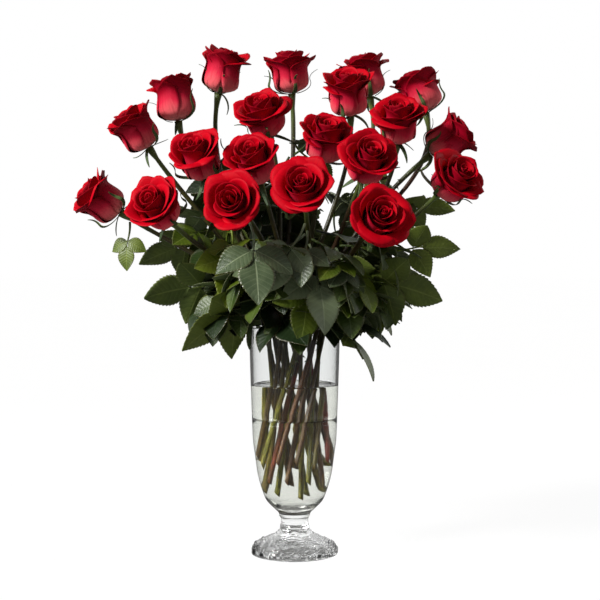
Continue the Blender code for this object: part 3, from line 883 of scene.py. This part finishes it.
def thorn(body, point, out, ahead, size, chance):
    """A flat-based thorn that hooks down the stem."""
    path = [point + out * size * f - ahead * size * 0.45 * f * f for f in (0, 0.35, 0.7, 1.0)]
    tube(body, path, [size * 0.34, size * 0.20, size * 0.09, size * 0.015], 8, chance, (0.9, 1.0))


def rose_stem(number, path, material):
    """A stem cut at a slant, uneven, with a swollen hip under its flower and a few thorns."""
    rng = np.random.default_rng(300 + number)
    line, lengths = stem_line(path)
    left = lengths[-1] - lengths
    waves = 0.05 * np.sin(lengths * 55 + 6 * rng.uniform())
    radii = STEM_RADIUS * (1 + waves + 0.02 * rng.uniform(-1, 1, len(line)))
    swell = np.sin(0.5 * math.pi * np.clip(1 - left / (2.6 * HIP), 0, 1)) ** 2
    radii += (HIP - STEM_RADIUS) * swell * (1 - 0.25 * (left < 0.4 * HIP))
    body = Body()
    chance = rng.uniform()
    tube(body, line, radii, STEM_SIDES, chance, slant=rng.uniform(0.6, 1.3))
    for k in range(THORNS):
        at = int(rng.uniform(0.36, 0.90) * (len(line) - 1))
        ahead = unit(line[at + 1] - line[at])
        side = unit(np.cross(ahead, (math.cos(k * 2.4), math.sin(k * 2.4), 0.3)))
        thorn(body, line[at] + side * STEM_DIA * 0.42, side, ahead,
              THORN * rng.uniform(0.5, 0.9), chance)
    body.make("rose_stem_%02d" % number, material, "rose_stems", "stem_%02d" % number)


# --- leaves
def blade(place, size, rng):
    """A toothed leaflet as rows of points, with its quilting between the side ribs."""
    notches = [(k + part) / TEETH for k in range(TEETH) for part in (0.30, 0.92, 1.0)]
    s = np.array([-0.06, 0.0, *notches])[:, None]
    tooth = np.array([0, 0] + [0, 1, -0.6] * TEETH)[:, None]
    v = np.array(LANES)[None, :]
    cup, twist, bow = rng.uniform(-0.06, 0.10), rng.uniform(-0.25, 0.25), rng.uniform(-0.05, 0.12)
    half = np.array([[max(leaf_half_width(share), LEAF_NECK)] for share in s[:, 0]])
    fold, cut = np.abs(v), TOOTH_DEPTH * tooth * (np.abs(v) == 1)
    out = half * v * (1 + cut)
    ripple = 0.0035 * np.sin(2 * math.pi * (9.0 * s - 1.7 * fold)) * fold * half * 2
    wave = 0.020 * np.sin(5.0 * s + 3 * twist + 2 * v) * fold
    lift = (0.10 + cup) * fold * half - (0.16 + bow) * s * s + 0.05 * s
    grid = np.stack((s + 0.35 * cut * half, out, lift + ripple + wave + twist * out * s), axis=2)
    matrix = np.array(place)
    along, across = np.meshgrid(np.clip(s, 0, 1), (v + 1) / 2, indexing="ij")
    return grid * size @ matrix[:3, :3].T + matrix[:3, 3], along, across


def compound_leaf(number, place, count, material, *nodes):
    rng = np.random.default_rng(500 + number)
    body = Body()
    chance = rng.uniform()
    stalk = [place @ Vector((x * LEAFLET, 0.002 * math.sin(4 * x), -0.0004))
             for x in np.linspace(0, 1.10, 12)]
    tube(body, stalk, np.linspace(STALK * 0.95, 0.0007, 12), 8, chance, (0.0, 0.02))
    for join, turn, size in leaflet_plan(count):
        spot = place @ leaflet_matrix(join, turn)
        grid, along, across = blade(spot, size * LEAFLET, rng)
        rows, columns = grid.shape[:2]
        body.add(thin_skin(grid, BLADE_THICKNESS), thin_skin_faces(rows, columns),
                 sheet_marks(along, across, chance))
    body.make("rose_leaf_%02d" % number, material, "rose_leaves", *nodes)


# --- glass and water
def curve_through(pairs, steps):
    """A smooth line through (height, radius) pairs, stepped finely."""
    pairs = np.array([pairs[0], *pairs, pairs[-1]])
    t = np.linspace(0, 1, steps, endpoint=False)[:, None]
    spans = [0.5 * (2 * b + (c - a) * t + (2 * a - 5 * b + 4 * c - d) * t * t
                    + (3 * b - a - 3 * c + d) * t ** 3)
             for a, b, c, d in zip(pairs, pairs[1:], pairs[2:], pairs[3:])]
    return np.vstack(spans + [pairs[-1:]])


def turned_body(line, sides, dent=None):
    """Turn (radius, height) pairs about the z axis, letting dent move each point a little."""
    turns = np.linspace(0, 2 * math.pi, sides, endpoint=False)
    radius, angle = np.meshgrid([r for r, z in line], turns, indexing="ij")
    height = np.repeat([[z] for r, z in line], sides, axis=1)
    if dent:
        radius, height = dent(radius, height, angle)
    points = np.stack((radius * np.cos(angle), radius * np.sin(angle), height), axis=2)
    ends = np.array(((0, 0, height[0].mean()), (0, 0, height[-1].mean())))
    points = np.vstack((points.reshape(-1, 3), ends))
    body = Body()
    body.add(points, round_faces(len(line), sides), np.zeros((len(points), 4)))
    return body


def foot_dents(radius, height, angle):
    """Rings and soft lumps pressed into the slope of the foot, and its uneven edge."""
    out = radius / VASE_RADIUS
    low = np.clip((0.112 * VASE_HEIGHT - height) / 0.004, 0, 1)
    top = low * np.clip((height - 0.0045) / 0.003, 0, 1)
    rings = np.sin(out * 104.0 + 1.5 * np.sin(angle * 5 + 9 * out) + 0.8 * np.sin(angle * 11))
    lumps = (np.sin(angle * 9 + 7 * out) * np.sin(out * 24 + 1.7 * np.sin(angle * 4))
             + 0.7 * np.sin(angle * 17 - 19 * out + 2 * np.sin(angle * 3)))
    height = height + top * (0.00135 * rings + 0.00085 * lumps * np.clip(out * 2.6 - 0.9, 0, 1))
    edge = np.clip((out - 0.80) / 0.12, 0, 1) * low * np.clip(height / 0.002, 0, 1)
    radius = radius - edge * 0.0008 * (1.4 + np.sin(angle * 13 + 2 * np.sin(angle * 5))
                                       + 0.4 * np.sin(angle * 29))
    return radius, height


def glass_vase(material):
    heights = [(z * VASE_HEIGHT, r * VASE_RADIUS) for z, r in VASE_OUTSIDE]
    foot = [p for p in heights if p[0] < 0.17 * VASE_HEIGHT]
    bowl_side = heights[len(foot) - 1:]
    outside = np.vstack((curve_through(foot, 10)[:-1], curve_through(bowl_side, 4)))
    inside = curve_through([(z * VASE_HEIGHT, r * (VASE_RADIUS - WALL)) for z, r in BOWL_INSIDE], 5)
    foot_edge = [(min(r, VASE_RADIUS * 0.999), max(z, 0.0)) for z, r in outside]
    bowl = [(max(r, AXIS), z) for z, r in inside[::-1]]
    start = [(VASE_RADIUS * f, 0.0) for f in (0.02, 0.3, 0.6, 0.85)]
    lip = [(VASE_RADIUS - WALL * f, VASE_HEIGHT + LIP_ROUND * math.sin(math.pi * f))
           for f in (0.2, 0.5, 0.8)]
    body = turned_body(start + foot_edge + lip + bowl, GLASS_SIDES, foot_dents)
    body.make("glass_vase", material, "clear_glass", "vase")


def ring_line(line):
    """Press a fine ring into the side of the water, at the height of the ring in the bowl."""
    low = [p for p in line if p[1] < RING_HEIGHT - RING_HALF]
    high = [p for p in line if p[1] > RING_HEIGHT + RING_HALF]
    radius = inner_radius(RING_HEIGHT) + OVERLAP
    ring = [(radius - RING_DEPTH * deep, RING_HEIGHT + RING_HALF * up)
            for deep, up in ((0, -1), (1, -0.36), (1, 0.36), (0, 1))]
    return low + ring + high


def still_water(material):
    """The water: a shade wider than the bowl's inside, so glass and water meet without air."""
    level = WATER_LEVEL * VASE_HEIGHT
    line = [(z * VASE_HEIGHT, r * (VASE_RADIUS - WALL)) for z, r in BOWL_INSIDE
            if z < WATER_LEVEL - 0.02]
    line.append((level, inner_radius(level)))
    wet = ring_line([(max(r + OVERLAP, AXIS), z - 0.0002) for z, r in curve_through(line, 4)])
    edge = wet[-1][0]
    creep = [(edge - back, level + up) for back, up in MENISCUS]
    flat = [(edge * share, level) for share in (0.6, 0.3)]
    body = turned_body(wet + creep + flat + [(AXIS, level)], WATER_SIDES)
    body.make("still_water", material, "water", "water")


# --- floor, light and camera
def plain_floor():
    """A pale round floor: white where it is looked at, duller as a source of bounced light."""
    mesh = bpy.data.meshes.new("floor")
    turns = np.linspace(0, 2 * math.pi, FLOOR_SIDES, endpoint=False)
    ring = [(FLOOR_REACH * math.cos(a), FLOOR_REACH * math.sin(a), 0.0) for a in turns]
    mesh.from_pydata(ring, [], [tuple(range(FLOOR_SIDES))])
    paint = Paint("pale floor", Roughness=0.9, Specular_IOR_Level=0.0, Emission_Strength=FLOOR_GLOW)
    mirrored = paint.node("LightPath", output="Glossy Depth").at_most(1.0)
    bounced = paint.node("LightPath", output="Diffuse Depth").at_most(1.0).at_least(mirrored)
    grain = paint.noise(3.0) * 0.01 + 0.05
    paint.finish(paint.blend(bounced, grain, 0.34 - mirrored * 0.21))
    paint.plug(paint.shader.inputs["Emission Color"], 1.0 - bounced)
    mesh.materials.append(paint.mat)
    floor = put("floor", mesh)
    floor.location.z = -0.0002


def soft_light(name, place, power):
    """A round lamp shining on the bunch."""
    lamp = bpy.data.lights.new(name, "AREA")
    lamp.shape = "DISK"
    lamp.size = LAMP_SIZE
    lamp.energy = power
    obj = put(name, lamp)
    obj.location = place
    obj.rotation_euler = (Vector(LAMP_AIM) - Vector(place)).to_track_quat("-Z", "Y").to_euler()


def sunlight(name, aim, strength, spread, colour):
    """A far, soft light shining along aim."""
    lamp = bpy.data.lights.new(name, "SUN")
    lamp.energy = strength
    lamp.angle = math.radians(spread)
    lamp.color = colour
    put(name, lamp).rotation_euler = Vector(aim).to_track_quat("-Z", "Y").to_euler()


def white_room():
    """Plain white where it is looked at, dim as a light, with a few soft windows in its shine."""
    room = Paint("white room", bpy.data.worlds, "Background", Color=(1.0, 1.0, 1.0))
    bpy.context.scene.world = room.mat
    glossy = room.node("LightPath", output="Glossy Depth").at_most(1.0)
    diffuse = room.node("LightPath", output="Diffuse Depth").at_most(1.0)
    direction = room.node("TexCoord", output="Generated")
    windows = room.node("TexNoise", sockets={"Vector": direction, "Scale": 3.0, "Detail": 1.0})
    right, deep, high = room.split(direction)
    beside = room.band(abs(right).at_least(high).at_least(deep), 0.30, 0.70)
    behind = room.band(deep, 0.20, 0.80) * 0.60
    shine = room.band(windows, 0.50, 0.60) * beside * ROOM_SHINE + behind + 0.01
    seen = 1.0 - glossy * (1.0 - shine)
    room.plug(room.shader.inputs["Strength"], seen * (1.0 - diffuse) + diffuse * ROOM_LIGHT)


def camera():
    data = bpy.data.cameras.new("camera")
    data.sensor_width = FILM_WIDTH
    data.lens = FILM_WIDTH * -EYE[1] / VIEW_WIDTH
    obj = put("camera", data)
    obj.location = EYE
    obj.rotation_euler = (math.radians(90) - math.atan2(EYE[2] - AIM_HEIGHT, -EYE[1]), 0, 0)
    bpy.context.scene.camera = obj


# --- the whole bunch
def fill_places(paths, blooms, placed):
    """Places for the further leaves: tried in turn down the stems, kept where there is room."""
    rng = np.random.default_rng(11)
    spots = obstacles(paths, blooms)
    for place, spec in placed:
        spots = with_leaf(spots, np.array([place @ p for p in leaf_samples(spec[-1])]))
    found = []
    for k in range(FILL_TRIES):
        rose, share = k % len(paths), rng.uniform(0.02, 0.80)
        point, ahead = along(paths[rose], share)
        compass = math.degrees(math.atan2(point[1], point[0])) + rng.uniform(-80, 80)
        droop, size = rng.uniform(-75, 15), rng.uniform(0.60, 1.05)
        roll = rng.uniform(-35, 35)
        count = 5 if rng.uniform() < 0.2 else 3
        place = leaf_matrix(point, ahead, compass, droop, roll, size)
        points = np.array([place @ p for p in leaf_samples(count)])
        out, height = np.hypot(points[:, 0], points[:, 1]), points[:, 2]
        reach = FILL_REACH + FILL_SPREAD * max(height.min() - VASE_HEIGHT, 0.0)
        if out.max() > reach or height.max() > FILL_TOP or points[:, 1].max() > CAD_BOX[1][1]:
            continue
        in_wall = np.abs(out - VASE_RADIUS + WALL / 2) < GLASS_CLEAR
        if (in_wall & (height < VASE_HEIGHT + 0.002)).any():
            continue
        if height.min() < VASE_HEIGHT - FILL_FOOT or room(points, spots, rose) < FILL_CLEAR:
            continue
        spots = with_leaf(spots, points)
        found.append((place, (count,)))
        if len(found) == FILL_LEAVES:
            break
    return found


def bunch():
    """All roses with their stems and leaves."""
    blooms = rose_blooms()
    stems = list(zip(stem_slots(blooms), range(len(blooms)), blooms))
    paths = [stem_path(*stem, SMOOTH_STEPS) for stem in stems]
    coarse = [stem_path(*stem) for stem in stems]
    petal, sepal = petal_paint(), leaf_paint(*SEPAL_GREEN)
    skins = [stem_paint(*skin) for skin in STEM_SKINS]
    greens = [leaf_paint(*green) for green in LEAF_GREENS]
    for k, (bloom, path, rose) in enumerate(zip(blooms, paths, ROSES), 1):
        flower(k, bloom, rose[-1], petal, sepal)
        rose_stem(k, path, skins[SKIN_OF[k - 1]])
    placed = list(zip(place_leaves(coarse, blooms), LEAVES))
    placed += fill_places(coarse, blooms, placed)
    for k, (place, spec) in enumerate(placed, 1):
        counted = k <= len(LEAVES)
        tip = place @ Vector((LEAFLET, 0, 0))
        far_out = math.hypot(*tip.xy) > FAR_OUT and tip.z > LIT_HEIGHT
        # Painted light and shade: leaves far out and high up take the brighter greens, those deep in
        # the bunch the darker ones
        shade = SHADES[k - 1] if counted else (LIT_OUTER_GREENS if far_out else SHADED_INNER_GREENS)[k % 3]
        nodes = ("leaf_%02d" % k,) if counted else ()
        compound_leaf(k, place, spec[-1], greens[shade], *nodes)


bunch()
glass_vase(glass_paint())
still_water(water_paint())
plain_floor()
sunlight("key", (0.84, 0.56, -0.62), 4.6, 12, (1.0, 0.985, 0.96))
soft_light("window", (-1.3, -0.7, 0.95), 10)
soft_light("far window", (1.4, 0.5, 0.8), 5)
white_room()
camera()
bpy.context.scene.view_settings.view_transform = "Standard"
